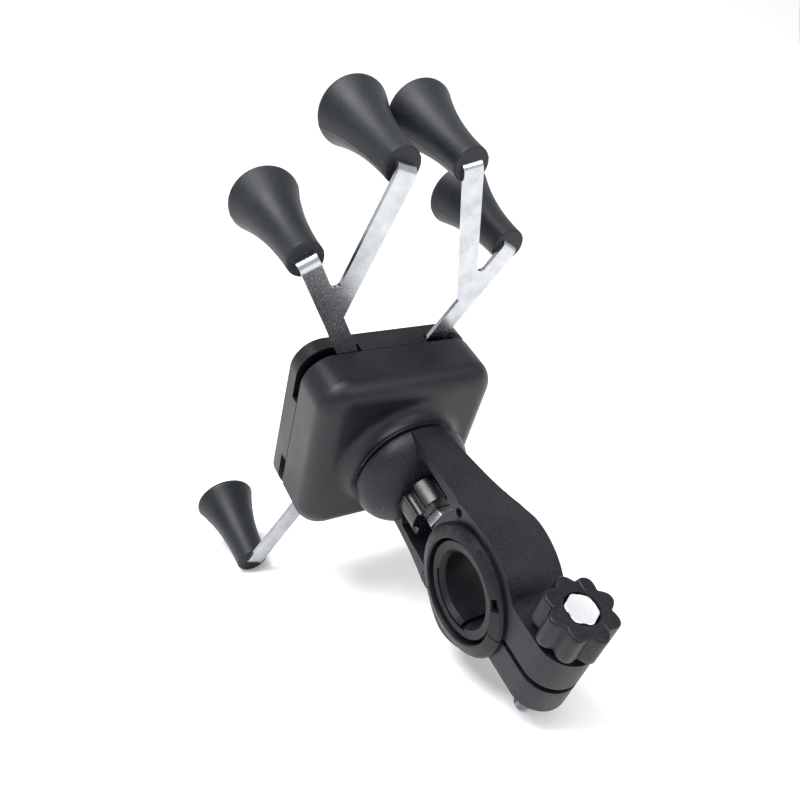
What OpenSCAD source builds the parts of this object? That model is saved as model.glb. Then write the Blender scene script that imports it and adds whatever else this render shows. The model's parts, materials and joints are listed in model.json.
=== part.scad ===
// Handlebar mount for a phone: spring-armed holder, swivel head and two-jaw bar clamp.
// Built in the holder's own frame (X across, Y up the holder, Z out of its back) and then
// stood on a table by stand(): row X is the bar's axis, +Z is up, +Y points to the phone side.

/* [Holder housing] */
// Side of the square housing
body_w = 65; // [60:1:72]
// Plan radius of the housing's corners
corner_r = 10.4; // [9:0.2:13]
// Depth of the rear shell
rear_t = 19; // [17:0.5:22]
// Depth of the front shell
front_t = 9.7; // [9:0.1:11]
// Fillet round the rear shell's back edge
edge_r = 7.3; // [5:0.1:8]
// Wall of both shells
wall = 2.2; // [1.8:0.1:2.6]
// Distance from the middle of the upper side to the end of an arm slot
slot_end = 12.4; // [11.8:0.1:13]
// Distance from the middle of the lower side to the end of an arm slot
low_slot_end = 11.2; // [10.8:0.1:11.4]
// Distance from the middle of a long side to the end of an arm slot
side_slot_end = 13.5; // [12.5:0.1:14]

/* [Spring arms] */
// Angle of each arm from the vertical with the arms closed
arm_angle = 28.5; // [27:0.1:30]
// Angle by which the lower leg is bent towards the middle
leg_bend = 1.9; // [0:0.1:3]
// Width of the steel bar
bar_w = 6.6; // [6:0.1:7]
// Thickness of the steel bar
bar_t = 1.4; // [1.2:0.1:1.6]
// Pivot to the lower tip
lower_reach = 81.7; // [76:0.1:86]
// Pivot to the outer upper tip
upper_reach = 75.6; // [72:0.1:80]
// Pivot to the fork, along the arm
fork_at = 53; // [51:0.1:56]
// Length of the fork's inner branch
fork_len = 50.5; // [44:0.1:52]
// Angle between the arm and its inner branch
fork_angle = 44.2; // [40:0.1:48]

/* [Rubber tips] */
// Length of a tip
tip_len = 34; // [30:0.5:36]
// Radius of a tip's flared end
tip_big_r = 11.4; // [10:0.1:11.5]
// Radius of a tip's narrow end
tip_small_r = 5.9; // [5.4:0.1:6.2]

/* [Swivel head] */
// Radius of the boss and of the dome's mouth
boss_r = 20; // [18:0.5:21]
// Depth of the dome
dome_t = 11.5; // [11:0.5:12]
// Outer radius of the lock wheel
wheel_r = 10; // [9:0.1:10.4]
// Depth of the lock wheel
wheel_t = 9.4; // [8:0.2:9.6]

/* [Bar clamp] */
// Swivel head to the centre of the bar, along the clamp
bar_z = 77.3; // [77:0.1:79]
// Height of the bar's centre above the swivel axis
bar_y = 3.7; // [3.2:0.1:4.2]
// Radius of the bare bar that fits with the sleeve in
sleeve_bore_r = 11; // [10.5:0.5:12.5]
// Radius of the bar that fits with the sleeve out
liner_bore_r = 16; // [15.5:0.1:16]
// Radius of the liner's seat in the jaws
seat_r = 18.6; // [18.4:0.1:18.8]
// Outer radius of the liner's flanges
flange_r = 20.4; // [20:0.1:20.6]
// Outer radius of the jaws round the bar
ring_r = 23.2; // [23:0.1:23.6]
// Half the width of the jaws at the ring and the lugs
jaw_half = 9.5; // [9.3:0.1:9.8]
// Bar centre to the clamp bolt
bolt_out = 30.2; // [30:0.1:31]
// Gap between the lugs
lug_gap = 2; // [1.8:0.1:2.4]
// Radius of the clamp bolt
bolt_r = 2.5; // [2.4:0.1:2.6]

/* [Hidden] */
$fn = 64;
eps = 0.01;
run_fit = 0.05;        // radial clearance of a turning fit
free_gap = 0.3;        // clearance between parts that move past each other

half = body_w / 2;
slot_t = 2 * bar_t + 0.7;
arm_a_z = -0.1 - bar_t;
arm_b_z = -slot_t + 0.1;
pin_r = 3;
post_at = half - 8.5;
cavity = half - wall;
boss_top = rear_t + 6.4;
dome_z = boss_top + 1;
dome_end = dome_z + dome_t;
wheel_z = dome_end + free_gap;
spindle_r = 3;
neck_half = 5.4;
strip_t = 3.6;
strip_top = bar_y + 20.3;
strip_low = bar_y - 20;
bolt_z = bar_z + bolt_out;
split_y = bar_y + 2.3;
lug_top = split_y + lug_gap / 2 + 12;
lug_low = split_y - lug_gap / 2 - 10;
knob_y = lug_top + 1.4;
knob_h = 11.3;
knob_r = 10.8;
head_r = 5.1;

// how the mount stands on the table: on its two lower tips and the end of the clamp bolt
lean = 27.9;
tip_top = arm_b_z - 0.05;
tip_rim = 0.4;
foot_y = -lower_reach * cos(arm_angle - leg_bend) - tip_small_r;
table_z = (tip_top - tip_rim) * sin(lean) - foot_y * cos(lean);
table_y = 23.58;
bolt_end = ((bolt_z + bolt_r) * sin(lean) - table_z) / cos(lean);
cross_y = bar_y + 17.6;
cross_z = bar_z - 14.7;
hinge_a = 228.5;
hinge_r = 25;
hinge_y = bar_y + hinge_r * sin(hinge_a);
hinge_z = bar_z + hinge_r * cos(hinge_a);
knuckle_r = 3;
hinge_pin_r = 1.5;
tongue_half = 3.5;
face_x = 12.3;

black = "#2b2d30";
rubber = "#1f2022";
steel = "#c9ccd0";

// ---- placing ----
module stand() {
    translate([0, table_y, table_z]) rotate([90 + lean, 0, 0]) children();
}

// a shape drawn in (Z, Y) and extruded across the clamp from x0 to x1
module across(x0, x1) {
    translate([x0, 0, 0]) rotate([0, -90, 0]) mirror([0, 0, 1]) linear_extrude(x1 - x0) children();
}

// a shape drawn in (X, Z) and extruded along Y from y0 to y1
module upward(y0, y1) {
    translate([0, y0, 0]) rotate([90, 0, 0]) mirror([0, 0, 1]) linear_extrude(y1 - y0) children();
}

module along_x(r, x0, x1, y, z) {
    translate([x0, y, z]) rotate([0, 90, 0]) cylinder(r = r, h = x1 - x0);
}

module along_y(r, y0, y1, z) {
    translate([0, y0, z]) rotate([-90, 0, 0]) cylinder(r = r, h = y1 - y0);
}

// ---- housing ----
module rounded_square(w, r) {
    for (sx = [-1, 1], sy = [-1, 1]) translate([sx * (w - r), sy * (w - r)]) circle(r);
    square([2 * (w - r), 2 * w], center = true);
    square([2 * w, 2 * (w - r)], center = true);
}

// block with corner radius r and an edge fillet e round its top
module pillow(w, r, h, e) {
    linear_extrude(h - e) rounded_square(w, r);
    for (sx = [-1, 1], sy = [-1, 1]) translate([sx * (w - r), sy * (w - r), 0])
        rotate_extrude() union() {
            square([r - e, h]);
            intersection() {
                translate([r - e, h - e]) circle(e);
                square([r, h]);
            }
        }
    for (turn = [0:90:270]) rotate([0, 0, turn]) translate([w - e, 0, h - e])
        rotate([90, 0, 0]) cylinder(r = e, h = 2 * (w - r), center = true);
    translate([0, 0, h / 2]) cube([2 * (w - r), 2 * (w - e), h], center = true);
    translate([0, 0, h / 2]) cube([2 * (w - e), 2 * (w - r), h], center = true);
}

module posts(z0, z1, r) {
    for (turn = [0:90:270]) rotate([0, 0, turn]) translate([post_at, 0, z0]) cylinder(r = r, h = z1 - z0);
}

module boss_profile() {
    foot = 5;
    polygon(concat([[0, rear_t - wall], [boss_r + foot - 0.6, rear_t - wall]],
        [for (a = [0:15:90]) [boss_r - 0.6 + foot * (1 - sin(a)), rear_t + foot * (1 - cos(a))]],
        [[boss_r, boss_top - 0.6], [boss_r - 0.6, boss_top], [0, boss_top]]));
}

module rear_shell() {
    color(black) stand() difference() {
        union() {
            difference() {
                pillow(half, corner_r, rear_t, edge_r);
                translate([0, 0, -eps]) linear_extrude(rear_t - edge_r)
                    rounded_square(cavity, corner_r - wall);
                translate([0, 0, rear_t - edge_r - 2 * eps]) linear_extrude(edge_r - wall)
                    rounded_square(cavity - edge_r + 3, corner_r - wall);
            }
            posts(0, rear_t - wall, 5);
            rotate_extrude() boss_profile();
            translate([0, 0, 9]) cylinder(r = 6, h = rear_t - 9);
        }
        posts(-eps, 10, 1.3);
        translate([0, 0, 11]) cylinder(r = 4.5, h = 20);
    }
}

module front_shell() {
    color(black) stand() difference() {
        union() {
            difference() {
                translate([0, 0, -front_t]) union() {
                    translate([0, 0, 1]) linear_extrude(front_t - 1) rounded_square(half, corner_r);
                    linear_extrude(front_t) rounded_square(half - 1, corner_r - 1);
                }
                translate([0, 0, -front_t + wall]) linear_extrude(front_t)
                    rounded_square(cavity, corner_r - wall);
            }
            posts(-front_t + wall - eps, 0, 5);
            translate([0, 0, -front_t + wall - eps]) cylinder(r = 7, h = front_t - wall - slot_t - 0.1);
        }
        // the four arm slots, each wrapped round a corner of the housing
        translate([0, 0, -slot_t]) linear_extrude(slot_t + eps) difference() {
            square(3 * body_w, center = true);
            rounded_square(cavity - eps, corner_r - wall);
            translate([-slot_end, 0]) square([2 * slot_end, body_w]);
            translate([-low_slot_end, -body_w]) square([2 * low_slot_end, body_w + eps]);
            square([2 * body_w, 2 * side_slot_end], center = true);
        }
        posts(-front_t - eps, 1, 1.6);
        posts(-front_t - eps, -front_t + 2.6, 3.1);
        translate([0, 0, -front_t + 1]) cylinder(r = pin_r + 0.02, h = front_t);
    }
}

module phone_pad() {
    color(rubber) stand() difference() {
        translate([0, 0, -front_t - 1.2]) linear_extrude(1.2) rounded_square(half - 4, 8);
        for (k = [-3:3]) translate([0, k * 7, -front_t - 1.3]) cube([body_w - 16, 1.4, 1], center = true);
    }
}

module shell_screws() {
    color(steel) stand() for (turn = [0:90:270]) rotate([0, 0, turn]) translate([post_at, 0, 0])
    difference() {
        union() {
            translate([0, 0, -front_t + 0.3]) cylinder(r = 2.9, h = 2.2);
            translate([0, 0, -front_t + 1]) cylinder(r = 1.28, h = front_t + 6.5);
        }
        for (slot = [0, 90]) rotate([0, 0, slot]) translate([0, 0, -front_t])
            cube([3.6, 0.8, 2.2], center = true);
    }
}

// ---- arms ----
module pivot_pin() {
    color(steel) stand() {
        translate([0, 0, -front_t + 1.1]) cylinder(r = pin_r, h = front_t + 9);
        translate([0, 0, 0.3]) cylinder(r = 5, h = 0.9);
    }
}

module arm_washer() {
    color(steel) stand() translate([0, 0, arm_b_z + bar_t + 0.05]) difference() {
        cylinder(r = 6, h = arm_a_z - arm_b_z - bar_t - 0.1);
        translate([0, 0, -1]) cylinder(r = pin_r + run_fit, h = 3);
    }
}

// torsion spring round the pivot, a round wire swept along a helix with two legs
function coil_point(t) = [7 * cos(360 * t), 7 * sin(360 * t), 2.2 + 1.55 * t];
coil_turns = 3.5;
coil_steps = 84;
coil_path = concat([[7, -11, 2.2]], [for (k = [0:coil_steps]) coil_point(coil_turns * k / coil_steps)],
    [[-7, -11, coil_point(coil_turns)[2]]]);
function unit(v) = v / norm(v);
function ring_at(path, k, r, sides) =
    let (n = len(path), d = unit(path[min(k + 1, n - 1)] - path[max(k - 1, 0)]),
        a = unit(cross(d, [0, 0, 1])), b = cross(a, d))
    [for (s = [0:sides - 1]) path[k] + r * (cos(360 * s / sides) * a + sin(360 * s / sides) * b)];

module wire(path, r, sides) {
    n = len(path);
    points = [for (k = [0:n - 1]) each ring_at(path, k, r, sides)];
    faces = concat(
        [[for (s = [0:sides - 1]) s]],
        [for (k = [0:n - 2], s = [0:sides - 1])
            [k * sides + s, (k + 1) * sides + s, (k + 1) * sides + (s + 1) % sides,
                k * sides + (s + 1) % sides]],
        [[for (s = [sides - 1:-1:0]) (n - 1) * sides + s]]);
    polyhedron(points = points, faces = faces);
}

module arm_spring() {
    color(steel) stand() wire(coil_path, 0.7, 8);
}

// outline of the bar from a to b, with square ends
module bar(a, b) {
    translate(a) rotate(atan2(b[1] - a[1], b[0] - a[0])) translate([0, -bar_w / 2])
        square([norm(b - a), bar_w]);
}

fork_foot = [0, fork_at];
fork_dir = [sin(fork_angle), cos(fork_angle)];
fork_tip = fork_foot + fork_len * fork_dir;
leg_dir = [-sin(leg_bend), -cos(leg_bend)];
leg_tip = lower_reach * leg_dir;

bend = 1.4;
fold_len = 16;

// ends of the bar: [position, direction in which the flat bar runs into the tip]
TIPS = [[leg_tip, 270 - leg_bend], [[0, upper_reach], 90], [fork_tip, 90 - fork_angle]];

// rounded corner between the arm and its inner branch
module crotch() {
    round_r = 1.9;
    along = bar_w / 2 * (1 + cos(fork_angle)) / sin(fork_angle);
    corner = fork_foot + bar_w / 2 * [-cos(fork_angle), sin(fork_angle)] + along * fork_dir;
    reach = round_r / tan(fork_angle / 2);
    middle = corner + round_r / sin(fork_angle / 2) * [sin(fork_angle / 2), cos(fork_angle / 2)];
    difference() {
        polygon([corner - [1, 1], corner + [-1, reach], corner + [0, reach], middle,
            corner + reach * fork_dir, corner + reach * fork_dir + [0.7, -0.7]]);
        translate(middle) circle(round_r + 0.05);
    }
}

module arm() {
    linear_extrude(bar_t) difference() {
        union() {
            bar([0, 0], [0, upper_reach - bend + 0.02]);
            bar([0, 0], leg_tip - (bend - 0.02) * leg_dir);
            bar(fork_foot, fork_tip - (bend - 0.02) * fork_dir);
            circle(6.5);
            crotch();
        }
        circle(pin_r + run_fit);
    }
    // each end folds forward, into its rubber tip
    for (tip = TIPS) translate([tip[0][0], tip[0][1], 0]) rotate([0, 0, tip[1]]) {
        rotate([90, 0, 0]) linear_extrude(bar_w - 0.08, center = true) polygon(concat(
            [[-bend - 1, 0.04], [-bend - 1, bar_t - 0.04]],
            [for (t = [90:-15:0]) [-bend, -bend] + (bend + bar_t - 0.04) * [cos(t), sin(t)]],
            [[bar_t - 0.04, -fold_len], [0.04, -fold_len]],
            [for (t = [0:15:90]) [-bend, -bend] + (bend + 0.04) * [cos(t), sin(t)]]));
    }
}

module on_arm_a() {
    rotate([0, 0, arm_angle]) translate([0, 0, arm_a_z]) children();
}

module on_arm_b() {
    mirror([1, 0, 0]) rotate([0, 0, arm_angle]) translate([0, 0, arm_b_z]) children();
}

module arm_a() {
    color(steel) stand() on_arm_a() arm();
}

module arm_b() {
    color(steel) stand() on_arm_b() arm();
}

// flared rubber tip with its narrow end at z = 0, opening towards -Z
function flare(t) = tip_small_r + (tip_big_r - tip_small_r) * pow(t, 2.2);
module tip_body() {
    round_r = 1.4;
    steps = 14;
    rotate_extrude() polygon(concat([[0, 0], [tip_small_r - tip_rim, 0]],
        [for (k = [0:steps]) [flare(k / steps), -tip_rim - (tip_len - tip_rim - round_r) * k / steps]],
        [for (a = [15:15:90]) [tip_big_r - round_r * (1 - cos(a)), -tip_len + round_r - round_r * sin(a)]],
        [[0, -tip_len]]));
}

// a tip on end k of an arm, its narrow end at height top, pocketed for the folded bar
module tip_on(k, top) {
    translate([TIPS[k][0][0], TIPS[k][0][1], 0]) rotate([0, 0, TIPS[k][1]]) difference() {
        translate([0, 0, top]) tip_body();
        translate([-0.02, -bar_w / 2 - 0.02, -fold_len - 0.05])
            cube([bar_t + 0.04, bar_w + 0.04, fold_len + 3]);
        translate([-2.4, -bar_w / 2 - 0.02, -bend - 0.05]) cube([2.5, bar_w + 0.04, bend + 3]);
    }
}

module tip_lower_right() { color(rubber) stand() on_arm_a() tip_on(0, tip_top - arm_a_z); }
module tip_upper_left_outer() { color(rubber) stand() on_arm_a() tip_on(1, tip_top - arm_a_z); }
module tip_upper_left_inner() { color(rubber) stand() on_arm_a() tip_on(2, tip_top - arm_a_z); }
module tip_lower_left() { color(rubber) stand() on_arm_b() tip_on(0, tip_top - arm_b_z); }
module tip_upper_right_outer() { color(rubber) stand() on_arm_b() tip_on(1, tip_top - arm_b_z); }
module tip_upper_right_inner() { color(rubber) stand() on_arm_b() tip_on(2, tip_top - arm_b_z); }

// ---- swivel head ----
module swivel_insert() {
    color("#b5934a") stand() translate([0, 0, 11.2]) difference() {
        cylinder(r = 4.48, h = boss_top - 11.4);
        translate([0, 0, -1]) cylinder(r = spindle_r + run_fit, h = 20);
    }
}

module swivel_washer() {
    color(rubber) stand() translate([0, 0, boss_top + 0.1]) difference() {
        cylinder(r = boss_r - 1.2, h = 0.8);
        translate([0, 0, -1]) cylinder(r = spindle_r + free_gap, h = 3);
    }
}

module dome() {
    round_z = 1.6;
    last = asin((dome_t - round_z) / 11);
    translate([0, 0, dome_z]) rotate_extrude() polygon(concat(
        [[0, 0], [boss_r - 0.1, 0], [boss_r + 0.3, 0.4], [boss_r + 0.3, round_z]],
        [for (k = [1:6]) [3 + (boss_r - 2.7) * cos(last * k / 6), round_z + 11 * sin(last * k / 6)]],
        [[0, dome_t]]));
}

// plan width of the clamp (X against Z): neck, flare, jaws and round lug end
module clamp_plan() {
    polygon(concat(
        [[-neck_half, 0], [-neck_half, 27.5], [-neck_half - 1.1, 42], [-neck_half - 2, 54],
            [-neck_half - 2.7, 61], [-neck_half - 3.4, 67], [-jaw_half, 75], [-jaw_half, bolt_z]],
        [[jaw_half, bolt_z], [jaw_half, 75], [neck_half + 3.4, 67], [neck_half + 2.7, 61],
            [neck_half + 2, 54], [neck_half + 1.1, 42], [neck_half, 27.5], [neck_half, 0]]));
    translate([0, bolt_z]) circle(jaw_half);
}

// side outline of both jaws and the two strips (Z against Y)
module strips_side() {
    polygon([[dome_z + 1, 12], [dome_z + 1, boss_r + 0.2], [dome_z + 1.6, boss_r + 0.7],
        [42, strip_top - 2.2],
        [52, strip_top - 1.2], [57, strip_top - 0.6], [61, strip_top], [64, strip_top + 0.6],
        [68, strip_top + 1.5], [72, strip_top + 2.2], [bar_z, bar_y + ring_r], [bar_z, bar_y + 12],
        [60, bar_y + 12], [60, strip_top - strip_t - 0.6], [48, strip_top - strip_t - 1.4],
        [38, strip_top - strip_t - 2], [34, 12]]);
    polygon([[dome_z + 5, -10], [dome_z + 5, strip_low], [47, strip_low], [hinge_z, hinge_y - knuckle_r],
        [hinge_z, hinge_y], [58, strip_low + strip_t + 1], [46, strip_low + strip_t],
        [39, strip_low + strip_t], [37, -10]]);
}

module ring_side(from, to) {
    translate([bar_z, bar_y]) intersection() {
        circle(ring_r);
        wedge(from, to, 60);
    }
}

// side outline of the lower jaw, which thins towards its lug
jaw_thick_r = 25.2;
jaw_thin_r = 20.5;
function jaw_r(a) = let (t = min(1, max(0, (a - 255) / 58)))
    jaw_thick_r - (jaw_thick_r - jaw_thin_r) * t * t * (3 - 2 * t);
module jaw_side(from, to) {
    steps = 24;
    translate([bar_z, bar_y]) polygon(concat([[0, 0]],
        [for (k = [0:steps]) let (a = from + (to - from) * k / steps) jaw_r(a) * [cos(a), sin(a)]]));
}

// web that carries the hinge, outside the ring
module hinge_root() {
    translate([bar_z, bar_y]) intersection() {
        circle(jaw_thick_r);
        wedge(hinge_a - 26, hinge_a - 5, 60);
    }
}

// concave blend from the ring down to the top of the lug
module lug_blend() {
    blend_r = 5;
    rise = lug_top + blend_r - bar_y;
    run = sqrt(pow(ring_r + blend_r, 2) - rise * rise);
    foot = [run, rise] * ring_r / (ring_r + blend_r);
    difference() {
        polygon([[bar_z, bar_y] + foot, [bar_z + run, lug_top + blend_r], [bar_z + run, lug_top - 1],
            [bar_z + foot[0] - 3, lug_top - 1]]);
        translate([bar_z + run, lug_top + blend_r]) circle(blend_r);
    }
}

// a sector from angle a to angle b, in steps of at most 30 degrees
module wedge(a, b, r) {
    polygon(concat([[0, 0]], [for (k = [0:8]) let (t = a + (b - a) * k / 8) [r * cos(t), r * sin(t)]]));
}

module lug_side(y0, y1) {
    translate([bar_z + 12, y0]) square([bolt_out + jaw_half - 12, y1 - y0]);
}

upper_from = asin((split_y + lug_gap / 2 - bar_y) / ring_r);

module clamp_body() {
    color(black) stand() difference() {
        union() {
            dome();
            intersection() {
                across(-20, 20) union() {
                    strips_side();
                    ring_side(upper_from, hinge_a - 5);
                    hinge_root();
                    lug_side(split_y + lug_gap / 2, lug_top);
                    lug_blend();
                }
                upward(-60, 60) clamp_plan();
            }
            along_x(knuckle_r, -tongue_half, tongue_half, hinge_y, hinge_z);
            along_x(2.9, -8.4, 8.4, cross_y, cross_z);
        }
        // seat of the liner, and the room below the split that the lower jaw fills
        along_x(seat_r, -30, 30, bar_y, bar_z);
        translate([-30, -40, bar_z]) cube([60, 40 + split_y + lug_gap / 2, 60]);
        for (side = [-1, 1]) along_x(knuckle_r + free_gap, side > 0 ? tongue_half : -30,
            side > 0 ? 30 : -tongue_half, hinge_y, hinge_z);
        along_x(hinge_pin_r + 0.02, -30, 30, hinge_y, hinge_z);
        // window for the lock wheel
        translate([0, 0, dome_end]) cylinder(r = wheel_r + 1, h = wheel_t + 4.4);
        // spindle, bolt and cross pin holes
        translate([0, 0, dome_z - 1]) cylinder(r = spindle_r + free_gap, h = dome_t + 2);
        along_y(bolt_r + free_gap, split_y - 5, lug_top + 5, bolt_z);
        along_x(1.5, -30, 30, cross_y, cross_z);
    }
}

module lock_wheel() {
    lobes = 6;
    color("#3a3c40") stand() translate([0, 0, wheel_z]) difference() {
        cylinder(r = wheel_r, h = wheel_t);
        for (k = [0:lobes - 1]) rotate([0, 0, 360 * (k + 0.5) / lobes]) translate([wheel_r + 0.6, 0, -1])
            cylinder(r = 2.4, h = wheel_t + 2);
        translate([0, 0, -1]) cylinder(r = spindle_r + 0.03, h = wheel_t + 2);
    }
}

module wheel_spindle() {
    color(steel) stand() {
        translate([0, 0, 13]) cylinder(r = spindle_r, h = wheel_z + wheel_t - 12);
        translate([0, 0, wheel_z + wheel_t + 0.02]) cylinder(r = 5.2, h = 3.17, $fn = 6);
    }
}

// ---- bar clamp ----
module hinge_pin() {
    color(steel) stand() along_x(hinge_pin_r, -jaw_half + 2.1, jaw_half - 2.1, hinge_y, hinge_z);
}

module cross_pin() {
    color(steel) stand() along_x(1.48, -jaw_half + 3.4, jaw_half - 3.4, cross_y, cross_z);
}

module lower_jaw() {
    color(black) stand() difference() {
        union() {
            intersection() {
                across(-20, 20) union() {
                    jaw_side(hinge_a + 9, 336);
                    lug_side(lug_low, split_y - lug_gap / 2);
                }
                upward(-60, 60) clamp_plan();
            }
            for (side = [-1, 1]) {
                x0 = side > 0 ? tongue_half + free_gap : -jaw_half + 1.6;
                along_x(knuckle_r, x0, x0 + jaw_half - 1.6 - tongue_half - free_gap, hinge_y, hinge_z);
                across(x0, x0 + jaw_half - 1.6 - tongue_half - free_gap)
                    intersection() {
                        translate([bar_z, bar_y]) difference() {
                            circle(jaw_thick_r - 0.1);
                            circle(seat_r - 0.5);
                        }
                        translate([bar_z, bar_y]) wedge(hinge_a, hinge_a + 14, 60);
                    }
            }
        }
        along_x(seat_r, -30, 30, bar_y, bar_z);
        translate([-30, split_y - lug_gap / 2, bar_z]) cube([60, 40, 60]);
        along_x(hinge_pin_r + run_fit, -30, 30, hinge_y, hinge_z);
        along_x(knuckle_r + free_gap, -tongue_half - free_gap, tongue_half + free_gap, hinge_y, hinge_z);
        // slotted bolt hole and the pocket that holds the nut from turning
        for (shift = [-1.8, 1.8]) along_y(bolt_r + 0.7, lug_low - 5, split_y + 5, bolt_z + shift);
        translate([-bolt_r - 0.7, lug_low - 5, bolt_z - 1.8]) cube([2 * bolt_r + 1.4, 30, 3.6]);
        translate([-4.3, lug_low - 5, bolt_z - 6.2]) cube([8.6, 10.6, 12.4]);
    }
}

// liner shell round the bar, with a flange over each side of the jaws
module liner(from, to) {
    intersection() {
        translate([0, bar_y, bar_z]) rotate([0, 90, 0]) rotate_extrude() polygon([
            [liner_bore_r, -face_x + 0.4], [liner_bore_r + 0.5, -face_x], [flange_r - 0.8, -face_x + 0.9],
            [flange_r, -face_x + 1.7], [flange_r, -jaw_half - 0.02], [seat_r - 0.03, -jaw_half - 0.02],
            [seat_r - 0.03, jaw_half + 0.02], [flange_r, jaw_half + 0.02], [flange_r, face_x - 1.7],
            [flange_r - 0.8, face_x - 0.9], [liner_bore_r + 0.5, face_x], [liner_bore_r, face_x - 0.4]]);
        across(-20, 20) translate([bar_z, bar_y]) wedge(from, to, 60);
    }
}

module upper_liner() {
    color(rubber) stand() difference() {
        liner(7, hinge_a + 0.4);
        // notch in both faces of the liner
        for (side = [-1, 1]) translate([side * 12, 0, 0]) across(-2.4, 2.4)
            intersection() {
                translate([bar_z, bar_y]) wedge(34, 46, 60);
                translate([bar_z, bar_y]) circle(flange_r - 0.9);
            }
    }
}

module lower_liner() {
    color(rubber) stand() liner(hinge_a + 1.6, 365.8);
}

module bar_sleeve() {
    lip_r = 15.3;
    color(rubber) stand() difference() {
        translate([0, bar_y, bar_z]) rotate([0, 90, 0]) rotate_extrude() polygon([
            [sleeve_bore_r, -9], [sleeve_bore_r + 1.2, -10.6], [lip_r - 0.5, -11], [lip_r, -10.6],
            [lip_r, -8.5], [liner_bore_r - 0.35, -8.5], [liner_bore_r - 0.35, 8.5], [lip_r, 8.5],
            [lip_r, 10.6], [lip_r - 0.5, 11], [sleeve_bore_r + 1.2, 10.6], [sleeve_bore_r, 9]]);
        // slit that lets the sleeve open, ending in a gap in the bore
        across(-20, 20) translate([bar_z, bar_y]) intersection() {
            difference() {
                circle(13);
                circle(12.2);
            }
            wedge(200, 300, 60);
        }
        across(-20, 20) translate([bar_z, bar_y]) intersection() {
            circle(13);
            wedge(296, 306, 60);
        }
    }
}

module clamp_bolt() {
    head_h = 3.5;
    color(steel) stand() {
        along_y(bolt_r, bolt_end, knob_y + knob_h - head_h - 0.5, bolt_z);
        translate([0, knob_y + knob_h - head_h - 0.5 - eps, bolt_z]) rotate([-90, 0, 0])
            cylinder(r = head_r, h = head_h, $fn = 6);
    }
}

module star_knob() {
    lobes = 8;
    color(black) stand() translate([0, knob_y, bolt_z]) rotate([-90, 0, 0]) difference() {
        cylinder(r = knob_r, h = knob_h);
        for (k = [0:lobes - 1]) rotate([0, 0, 360 * (k + 0.5) / lobes]) translate([knob_r + 0.75, 0, -1])
            cylinder(r = 2.6, h = knob_h + 2);
        translate([0, 0, -1]) cylinder(r = bolt_r + 0.02, h = knob_h + 2);
        translate([0, 0, knob_h - 4.02]) cylinder(r = head_r + 0.06, h = 10, $fn = 6);
    }
}

module bolt_washer() {
    color(steel) stand() difference() {
        along_y(5, lug_top + 0.25, lug_top + 1.25, bolt_z);
        along_y(bolt_r + 0.1, lug_top - 1, lug_top + 3, bolt_z);
    }
}

module clamp_nut() {
    nut_h = 4;
    color(steel) stand() translate([0, lug_low + 0.8, bolt_z]) rotate([-90, 0, 0]) rotate([0, 0, 30])
    difference() {
        cylinder(r = 4.62, h = nut_h, $fn = 6);
        translate([0, 0, -1]) cylinder(r = bolt_r + run_fit, h = nut_h + 2);
    }
}

rear_shell();
front_shell();
phone_pad();
shell_screws();
pivot_pin();
arm_washer();
arm_spring();
arm_a();
arm_b();
tip_upper_left_outer();
tip_upper_left_inner();
tip_lower_right();
tip_upper_right_outer();
tip_upper_right_inner();
tip_lower_left();
swivel_insert();
swivel_washer();
clamp_body();
lock_wheel();
wheel_spindle();
hinge_pin();
lower_jaw();
upper_liner();
lower_liner();
bar_sleeve();
cross_pin();
star_knob();
clamp_bolt();
bolt_washer();
clamp_nut();
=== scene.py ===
"""Looks of the phone handlebar mount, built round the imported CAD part.

The mount leans back on its clamp. Shapes are worked out in the holder's own frame (X across, Y up
the holder, Z out of its back, in millimetres) and placed by at(), which reads that frame from the
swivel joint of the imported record.
"""
import json
import math

import bmesh
import bpy
from mathutils import Matrix, Vector


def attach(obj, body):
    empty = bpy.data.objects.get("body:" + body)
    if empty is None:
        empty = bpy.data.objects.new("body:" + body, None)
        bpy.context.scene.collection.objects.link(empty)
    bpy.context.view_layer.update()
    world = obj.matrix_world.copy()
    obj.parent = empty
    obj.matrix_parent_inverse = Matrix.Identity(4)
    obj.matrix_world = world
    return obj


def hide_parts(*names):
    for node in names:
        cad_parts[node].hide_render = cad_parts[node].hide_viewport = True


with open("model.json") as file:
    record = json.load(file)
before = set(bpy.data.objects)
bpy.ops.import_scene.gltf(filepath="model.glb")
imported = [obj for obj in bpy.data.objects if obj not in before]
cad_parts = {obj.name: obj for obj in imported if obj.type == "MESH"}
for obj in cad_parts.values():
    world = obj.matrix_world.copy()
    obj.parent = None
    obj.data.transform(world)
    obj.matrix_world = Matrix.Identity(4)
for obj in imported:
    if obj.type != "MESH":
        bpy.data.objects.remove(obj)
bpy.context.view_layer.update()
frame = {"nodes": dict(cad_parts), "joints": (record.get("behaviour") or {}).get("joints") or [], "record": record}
nodes = frame["nodes"]
bodies = frame["record"]["behaviour"]["bodies"]
body_of = {node: body for body, members in bodies.items() for node in members}
joints = {joint["name"]: joint for joint in frame["joints"]}

MM = 0.001

# ---- the holder's own frame ----
SWIVEL_DEPTH = 26 * MM  # from the parting plane out to the swivel joint's point
ACROSS = Vector((1, 0, 0))
OUT = Vector(joints["holder_swivel"]["axis"]).normalized()
UP = OUT.cross(ACROSS)
ORIGIN = Vector(joints["holder_swivel"]["pos_m"]) - SWIVEL_DEPTH * OUT
STAND = Matrix((ACROSS, UP, OUT)).transposed().to_4x4()
STAND.translation = ORIGIN


def local_box(node):
    """Lowest and highest corner of a CAD node in the holder's frame, in millimetres."""
    back = STAND.inverted()
    points = [back @ v.co / MM for v in nodes[node].data.vertices]
    low = Vector(min(p[k] for p in points) for k in range(3))
    high = Vector(max(p[k] for p in points) for k in range(3))
    return low, high


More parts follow.
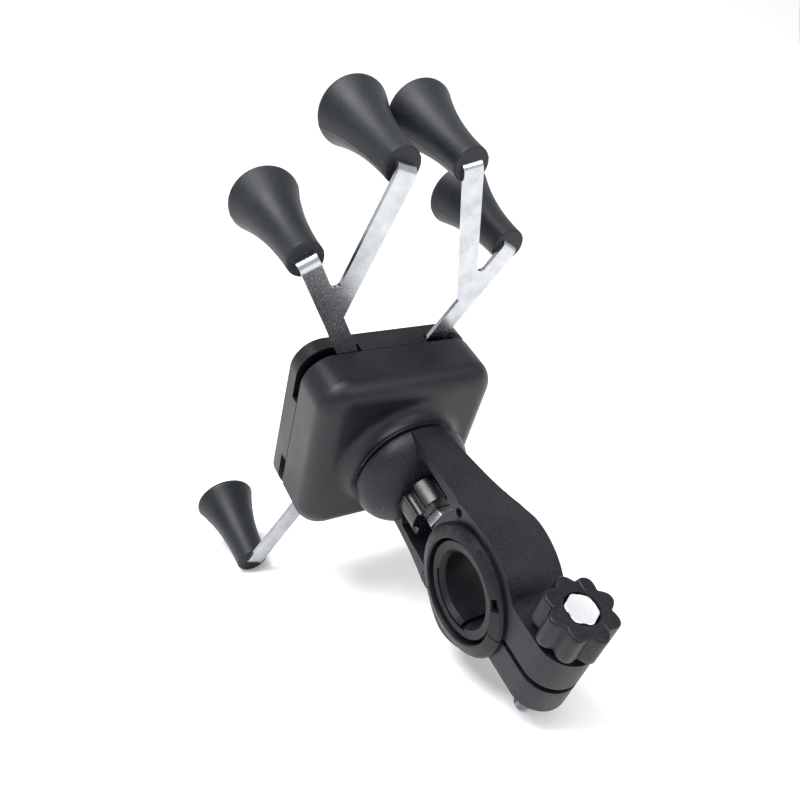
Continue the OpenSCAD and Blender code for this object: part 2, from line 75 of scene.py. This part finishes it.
# ---- meshes ----
def new_piece(name, mesh, node, material, others=()):
    """Adds a mesh given in the row frame as a piece that stands for a CAD node."""
    piece = bpy.data.objects.new(name, mesh)
    bpy.context.scene.collection.objects.link(piece)
    mesh.materials.clear()
    mesh.materials.append(material)
    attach(piece, body_of[node])
    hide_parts(node, *others)
    return piece


def smooth(piece, angle=35):
    bpy.context.view_layer.objects.active = piece
    for other in bpy.context.selected_objects:
        other.select_set(False)
    piece.select_set(True)
    bpy.ops.object.shade_smooth_by_angle(angle=math.radians(angle))
    piece.select_set(False)


def soften(piece, width, segments=3, angle=35):
    """Rounds a piece's edges so that they catch the light."""
    bevel = piece.modifiers.new("edges", "BEVEL")
    bevel.width = width * MM
    bevel.segments = segments
    bevel.limit_method = "ANGLE"
    bevel.angle_limit = math.radians(angle)
    bevel.harden_normals = True
    bevel.use_clamp_overlap = True
    bevel.miter_outer = "MITER_ARC"


def from_cad(node, material, edge=0.3, segments=3, angle=35):
    """A piece with a CAD node's shape, joined up and with rounded edges."""
    mesh = nodes[node].data.copy()
    bm = bmesh.new()
    bm.from_mesh(mesh)
    bmesh.ops.remove_doubles(bm, verts=bm.verts, dist=0.002 * MM)
    bmesh.ops.dissolve_limit(bm, angle_limit=math.radians(0.6), verts=bm.verts, edges=bm.edges)
    bmesh.ops.recalc_face_normals(bm, faces=bm.faces)
    bm.to_mesh(mesh)
    bm.free()
    piece = new_piece("look_" + node, mesh, node, material)
    smooth(piece)
    if edge:
        soften(piece, edge, segments, angle)
    return piece


def lathe(name, profile, place, node, material, steps=96, shape=None):
    """Turns a profile of (radius, height) points about Z and sets it at a matrix, in millimetres.

    shape(angle, radius, height), if given, returns the radius to use at that angle.
    """
    bm = bmesh.new()
    rows = []
    for radius, height in profile:
        if radius < 1e-6:
            rows.append([bm.verts.new(place @ Vector((0, 0, height)) * MM)])
        else:
            row = []
            for k in range(steps):
                t = 2 * math.pi * k / steps
                r = shape(t, radius, height) if shape else radius
                row.append(bm.verts.new(place @ Vector((r * math.cos(t), r * math.sin(t), height)) * MM))
            rows.append(row)
    for low, high in zip(rows, rows[1:]):
        for k in range(steps):
            n = (k + 1) % steps
            if len(low) == 1:
                bm.faces.new((low[0], high[k], high[n]))
            elif len(high) == 1:
                bm.faces.new((low[k], low[n], high[0]))
            else:
                bm.faces.new((low[k], low[n], high[n], high[k]))
    bmesh.ops.recalc_face_normals(bm, faces=bm.faces)
    bmesh.ops.remove_doubles(bm, verts=bm.verts, dist=1e-7)
    mesh = bpy.data.meshes.new(name)
    bm.to_mesh(mesh)
    bm.free()
    mesh.transform(STAND)
    return new_piece(name, mesh, node, material)


# ---- materials ----
def shader(name, colour, roughness, metallic=0.0):
    material = bpy.data.materials.new(name)
    material.use_nodes = True
    tree = material.node_tree
    principled = tree.nodes["Principled BSDF"]
    principled.inputs["Base Color"].default_value = (*colour, 1)
    principled.inputs["Roughness"].default_value = roughness
    principled.inputs["Metallic"].default_value = metallic
    if not metallic:
        principled.inputs["Specular IOR Level"].default_value = 0.4
    return material, tree, principled


def noise(tree, coordinates, scale, detail=3.0, rough=0.6):
    node = tree.nodes.new("ShaderNodeTexNoise")
    node.inputs["Scale"].default_value = scale
    node.inputs["Detail"].default_value = detail
    node.inputs["Roughness"].default_value = rough
    tree.links.new(coordinates, node.inputs["Vector"])
    return node.outputs["Fac"]


def ramp(tree, value, low, high, start=0.3, end=0.7):
    """Maps a texture value from start..end to low..high, numbers or colours."""
    node = tree.nodes.new("ShaderNodeMapRange")
    node.inputs["From Min"].default_value = start
    node.inputs["From Max"].default_value = end
    node.inputs["To Min"].default_value = low
    node.inputs["To Max"].default_value = high
    tree.links.new(value, node.inputs["Value"])
    return node.outputs["Result"]


def tint(tree, value, dark, light):
    node = tree.nodes.new("ShaderNodeMix")
    node.data_type = "RGBA"
    node.inputs["A"].default_value = (*dark, 1)
    node.inputs["B"].default_value = (*light, 1)
    tree.links.new(value, node.inputs["Factor"])
    return node.outputs["Result"]


def grain(tree, principled, value, height, strength=1.0):
    bump = tree.nodes.new("ShaderNodeBump")
    bump.inputs["Distance"].default_value = height * MM
    bump.inputs["Strength"].default_value = strength
    tree.links.new(value, bump.inputs["Height"])
    tree.links.new(bump.outputs["Normal"], principled.inputs["Normal"])


def object_coordinates(tree, stretch=(1, 1, 1)):
    coordinates = tree.nodes.new("ShaderNodeTexCoord")
    mapping = tree.nodes.new("ShaderNodeMapping")
    mapping.inputs["Scale"].default_value = stretch
    tree.links.new(coordinates.outputs["Object"], mapping.inputs["Vector"])
    return mapping.outputs["Vector"]


def moulded(name, dark, light, roughness, grain_mm, grain_height, spread, shine, scratched=False):
    """Moulded plastic or rubber: speckled spark-eroded grain, uneven sheen and, if asked, light scratches."""
    material, tree, principled = shader(name, light, roughness)
    principled.inputs["Specular IOR Level"].default_value = shine
    place = object_coordinates(tree)
    fine = noise(tree, place, 1 / (grain_mm * MM), 4.0, 0.65)
    broad = noise(tree, place, 55, 4.0, 0.6)
    speckle = tree.nodes.new("ShaderNodeMath")
    speckle.operation = "ADD"
    tree.links.new(ramp(tree, broad, 0, 0.35, 0.35, 0.65), speckle.inputs[0])
    tree.links.new(ramp(tree, fine, 0, 0.65, 0.42, 0.66), speckle.inputs[1])
    tree.links.new(tint(tree, speckle.outputs["Value"], dark, light), principled.inputs["Base Color"])
    sheen = tree.nodes.new("ShaderNodeMath")
    sheen.operation = "ADD"
    tree.links.new(ramp(tree, broad, roughness - spread, roughness + spread), sheen.inputs[0])
    tree.links.new(ramp(tree, fine, -0.06, 0.06), sheen.inputs[1])
    tree.links.new(sheen.outputs["Value"], principled.inputs["Roughness"])
    grain(tree, principled, fine, grain_height)
    if scratched:
        # a few fine light scratches, long threads of stretched noise
        thread = noise(tree, object_coordinates(tree, (1, 0.05, 0.09)), 900, 2.0, 0.5)
        patch = noise(tree, place, 38, 2.0, 0.5)
        both = tree.nodes.new("ShaderNodeMath")
        both.operation = "MULTIPLY"
        tree.links.new(ramp(tree, thread, 0, 1, 0.66, 0.72), both.inputs[0])
        tree.links.new(ramp(tree, patch, 0, 1, 0.48, 0.58), both.inputs[1])
        worn = tree.nodes.new("ShaderNodeMix")
        worn.data_type = "RGBA"
        worn.inputs["B"].default_value = (0.060, 0.065, 0.072, 1)
        base = principled.inputs["Base Color"].links[0].from_socket
        tree.links.new(base, worn.inputs["A"])
        tree.links.new(both.outputs["Value"], worn.inputs["Factor"])
        tree.links.new(worn.outputs["Result"], principled.inputs["Base Color"])
    return material


def metal(name, dark, light, roughness, stretch, scale, height, spread=0.08):
    """Bare metal with fine drawn lines along the long direction of its stretch."""
    material, tree, principled = shader(name, light, roughness, 1.0)
    lines = noise(tree, object_coordinates(tree, stretch), scale, 4.0, 0.7)
    cloud = noise(tree, object_coordinates(tree), 160, 3.0, 0.6)
    tree.links.new(tint(tree, ramp(tree, cloud, 0, 1), dark, light), principled.inputs["Base Color"])
    tree.links.new(ramp(tree, lines, roughness - spread, roughness + spread), principled.inputs["Roughness"])
    grain(tree, principled, lines, height)
    return material


SHELL = moulded("shell_plastic", (0.0012, 0.0018, 0.0034), (0.0098, 0.0114, 0.0148), roughness=0.40,
                grain_mm=0.55, grain_height=0.060, spread=0.06, shine=0.30)
CLAMP = moulded("clamp_plastic", (0.0010, 0.0016, 0.0032), (0.0135, 0.0155, 0.0195), roughness=0.40,
                grain_mm=0.62, grain_height=0.110, spread=0.08, shine=0.24, scratched=True)
WHEEL = moulded("wheel_plastic", (0.0040, 0.0050, 0.0066), (0.0075, 0.0088, 0.0114), roughness=0.26,
                grain_mm=0.6, grain_height=0.004, spread=0.05, shine=0.42)
RUBBER = moulded("tip_rubber", (0.0030, 0.0044, 0.0070), (0.0185, 0.0212, 0.0262), roughness=0.47,
                 grain_mm=0.50, grain_height=0.045, spread=0.07, shine=0.27)
LINER = moulded("liner_rubber", (0.0008, 0.0012, 0.0024), (0.0110, 0.0128, 0.0160), roughness=0.44,
                grain_mm=0.60, grain_height=0.100, spread=0.08, shine=0.20)
BAR = metal("arm_steel", (0.36, 0.37, 0.39), (0.50, 0.51, 0.53), 0.25, (1, 1, 1), 2600, 0.008)
# the bolt is one steel in two painted copies: a near-white one on the head as painted highlight and a dark one on
# the threaded shank as painted shade
HEAD = metal("bolt_steel_painted_highlight", (0.86, 0.86, 0.87), (0.96, 0.96, 0.97), 0.38, (1, 1, 1), 1800, 0.006)
SHANK_PAINTED_SHADE = metal("thread_steel_painted_shade", (0.12, 0.12, 0.13), (0.24, 0.24, 0.26), 0.36, (1, 1, 1), 1800, 0.006)
STEEL = metal("pin_steel", (0.52, 0.53, 0.55), (0.74, 0.75, 0.77), 0.28, (1, 1, 6), 1500, 0.006)
BRASS = metal("insert_brass", (0.55, 0.38, 0.16), (0.78, 0.58, 0.30), 0.32, (1, 1, 1), 1500, 0.006)

# ---- rubber tips ----
TIPS = [node for node in nodes if node.startswith("tip_")]


TIP_SMALL_R = 5.9
TIP_FLARE = 2.2
TIP_SEAM_TURN = 25


def tip_profile(length, small, big):
    """Narrow end at height 0 and the wide end below it, with a soft rim and a slightly hollow face."""
    rim = 0.6
    lip = 1.5
    points = [(0, 0.0), (small - rim - 0.6, 0.0)]
    points += [(small - rim + rim * math.sin(t), -rim + rim * math.cos(t)) for t in
               (math.radians(15 * k) for k in range(7))]
    side = 30
    for k in range(1, side + 1):
        t = k / side
        points.append((small + (big - small) * t ** TIP_FLARE, -rim - (length - rim - lip) * t))
    points += [(big - lip * (1 - math.cos(t)), -length + lip - lip * math.sin(t)) for t in
               (math.radians(10 * k) for k in range(1, 10))]
    points.append((big - lip - 1.2, -length + 0.25))
    points.append((0, -length + 0.25))
    return points


def mould_line(angle, radius, height):
    """A fine raised seam down both sides of a moulded tip."""
    return radius + 0.11 * max(0.0, 1 - abs(math.sin(angle)) / 0.05) if radius > 2 else radius


def make_tip(node):
    low, high = local_box(node)
    centre = (low + high) / 2
    place = Matrix.Translation((centre.x, centre.y, high.z)) @ Matrix.Rotation(
        math.radians(TIP_SEAM_TURN), 4, "Z")
    profile = tip_profile(high.z - low.z, TIP_SMALL_R, (high.x - low.x) / 2)
    return lathe("look_" + node, profile, place, node, RUBBER, 144, mould_line)


for tip in TIPS:
    smooth(make_tip(tip), 50)

# ---- clamp bolt ----
BOLT_R = 2.5
HEAD_R = 5.1
HEAD_H = 3.5
PITCH = 1.0
THREAD_DEPTH = 0.55


def along_bolt(low, high):
    """Stands a turned profile on the lowest Y of a box, with its height along the holder's Y."""
    foot = Matrix.Translation(((low.x + high.x) / 2, low.y, (low.z + high.z) / 2))
    return foot @ Matrix.Rotation(math.radians(-90), 4, "X")


def bolt_shape(angle, radius, height):
    """Rolled thread on the shank, six flats on the head and a turned bevel over their corners."""
    if radius > BOLT_R + 0.2:
        flats = HEAD_R * math.cos(math.pi / 6) / math.cos((angle + math.pi / 6) % (math.pi / 3) - math.pi / 6)
        return min(flats, radius)
    wave = (height / PITCH - angle / (2 * math.pi)) % 1
    return radius - THREAD_DEPTH * abs(2 * wave - 1) ** 1.3 if radius > 1.2 else radius


def make_bolt():
    low, high = local_box("clamp_bolt")
    length = high.y - low.y
    place = along_bolt(low, high)
    shank = length - HEAD_H
    rows = int(shank / PITCH * 8)
    profile = [(0, 0), (1.15, 0)]
    profile += [(min(BOLT_R, 1.9 + shank * k / rows * 0.9), shank * k / rows) for k in range(1, rows + 1)]
    profile += [(HEAD_R, shank), (HEAD_R, length - 0.6)]
    profile += [(HEAD_R - 0.07 * k, length - 0.5 + 0.1 * k) for k in range(5)]
    profile += [(HEAD_R * 0.86, length), (HEAD_R * 0.8, length - 0.08), (0, length - 0.08)]
    bolt = lathe("look_clamp_bolt", profile, place, "clamp_bolt", HEAD, 96, bolt_shape)
    # the threaded shank takes the dark copy of the bolt steel, painted shade
    bolt.data.materials.append(SHANK_PAINTED_SHADE)
    foot = STAND @ (Vector((0, low.y, 0)) * MM)
    for face in bolt.data.polygons:
        if (face.center - foot).dot(UP) < (shank - 0.1) * MM:
            face.material_index = 1
    smooth(bolt, 28)


make_bolt()

# ---- star knob ----
KNOB_LOBES = 8
KNOB_VALLEY = 2.1


def knob_shape(angle, radius, height):
    """Scalloped grip: round lobes with wider round valleys between them."""
    if radius < HEAD_R + 1:
        return radius
    lobe = 0.5 + 0.5 * math.cos(KNOB_LOBES * angle)
    return radius - KNOB_VALLEY * (1 - lobe ** 0.65) * min(1, (radius - HEAD_R - 1) / 3)


def make_knob():
    low, high = local_box("star_knob")
    tall = high.y - low.y
    place = along_bolt(low, high)
    big = (high.x - low.x) / 2
    rim = 0.9
    profile = [(BOLT_R + 0.05, 0), (big - 1.6, 0), (big - 0.6, 0.35), (big, 1.2)]
    profile += [(big, 1.2 + (tall - 1.2 - rim) * k / 6) for k in range(1, 7)]
    profile += [(big - rim * (1 - math.cos(t)), tall - rim + rim * math.sin(t)) for t in
                (math.radians(18 * k) for k in range(1, 6))]
    profile += [(big - 2.4, tall - 0.02), (HEAD_R + 1.2, tall - 0.1), (HEAD_R + 0.35, tall - 0.2),
                (HEAD_R + 0.05, tall - 0.6), (HEAD_R + 0.05, tall - 4), (BOLT_R + 0.05, tall - 4),
                (BOLT_R + 0.05, 0)]
    smooth(lathe("look_star_knob", profile, place, "star_knob", CLAMP, 192, knob_shape), 40)


make_knob()

# ---- the other pieces ----
EDGES = {"rear_shell": (SHELL, 0.5), "front_shell": (SHELL, 0.35), "phone_pad": (RUBBER, 0.3),
         "shell_screws": (STEEL, 0.08), "pivot_pin": (STEEL, 0.15), "arm_washer": (STEEL, 0.05),
         "arm_spring": (STEEL, 0), "arm_a": (BAR, 0.18), "arm_b": (BAR, 0.18),
         "swivel_insert": (BRASS, 0.1), "swivel_washer": (LINER, 0.1), "clamp_body": (CLAMP, 0.45),
         "lock_wheel": (WHEEL, 0.6), "wheel_spindle": (STEEL, 0.25), "hinge_pin": (STEEL, 0.15),
         "lower_jaw": (CLAMP, 0.45), "upper_liner": (LINER, 0.4), "lower_liner": (LINER, 0.4),
         "bar_sleeve": (LINER, 0.35), "cross_pin": (STEEL, 0.15),
         "bolt_washer": (STEEL, 0.1), "clamp_nut": (STEEL, 0.2)}
for node, (material, edge) in EDGES.items():
    from_cad(node, material, edge)


# ---- floor, light and camera ----
def area_light(name, place, target, size, power):
    light = bpy.data.lights.new(name, "AREA")
    light.shape = "DISK"
    light.size = size
    light.energy = power
    lamp = bpy.data.objects.new(name, light)
    bpy.context.scene.collection.objects.link(lamp)
    lamp.location = place
    lamp.rotation_euler = (Vector(target) - Vector(place)).to_track_quat("-Z", "Y").to_euler()


def make_floor():
    """A sheet of white paper that runs back flat and then curves up behind."""
    half_width, front, flat, radius, top = 5, -2.5, 2.2, 1.2, 3.5
    outline = [(front, 0), (flat, 0)]
    outline += [(flat + radius * math.sin(t), radius - radius * math.cos(t)) for t in
                (math.radians(7.5 * k) for k in range(1, 13))]
    outline.append((flat + radius, top))
    bm = bmesh.new()
    rows = [[bm.verts.new((x, y, z)) for x in (-half_width, half_width)] for y, z in outline]
    for low, high in zip(rows, rows[1:]):
        bm.faces.new((low[0], low[1], high[1], high[0]))
    mesh = bpy.data.meshes.new("floor")
    bm.to_mesh(mesh)
    bm.free()
    mesh.polygons.foreach_set("use_smooth", [True] * len(mesh.polygons))
    floor = bpy.data.objects.new("floor", mesh)
    bpy.context.scene.collection.objects.link(floor)
    material, _, principled = shader("floor_paper", (0.94, 0.94, 0.945), 0.8)
    principled.inputs["Specular IOR Level"].default_value = 0.1
    mesh.materials.append(material)


make_floor()
world = bpy.data.worlds.new("studio")
world.use_nodes = True
world.node_tree.nodes["Background"].inputs["Color"].default_value = (0.97, 0.985, 1, 1)
world.node_tree.nodes["Background"].inputs["Strength"].default_value = 0.8
bpy.context.scene.world = world
sun_data = bpy.data.lights.new("broad_top_light", "SUN")
sun_data.energy = 1.5
sun_data.angle = math.radians(60)
sun = bpy.data.objects.new("broad_top_light", sun_data)
bpy.context.scene.collection.objects.link(sun)
sun.rotation_euler = Vector((0.35, 0.25, -1)).to_track_quat("-Z", "Y").to_euler()
area_light("upper_left_softbox", (-0.5, -0.1, 1.1), (0, 0, 0.09), 0.55, 12)
area_light("front_fill", (0.3, -0.9, 0.75), (0, 0, 0.06), 0.5, 3)

camera_data = bpy.data.cameras.new("camera")
camera = bpy.data.objects.new("camera", camera_data)
bpy.context.scene.collection.objects.link(camera)
camera_data.sensor_width = 36
camera_data.lens = 36.28
camera_data.shift_x = -0.051
camera_data.shift_y = 0.031
camera_data.clip_start = 0.01
camera.location = ORIGIN + Vector((-0.1303, -0.2429, 0.0873))
camera.rotation_euler = Vector((0.518, 0.796, -0.312)).to_track_quat("-Z", "Y").to_euler()
bpy.context.scene.camera = camera
bpy.context.scene.view_settings.view_transform = "Standard"
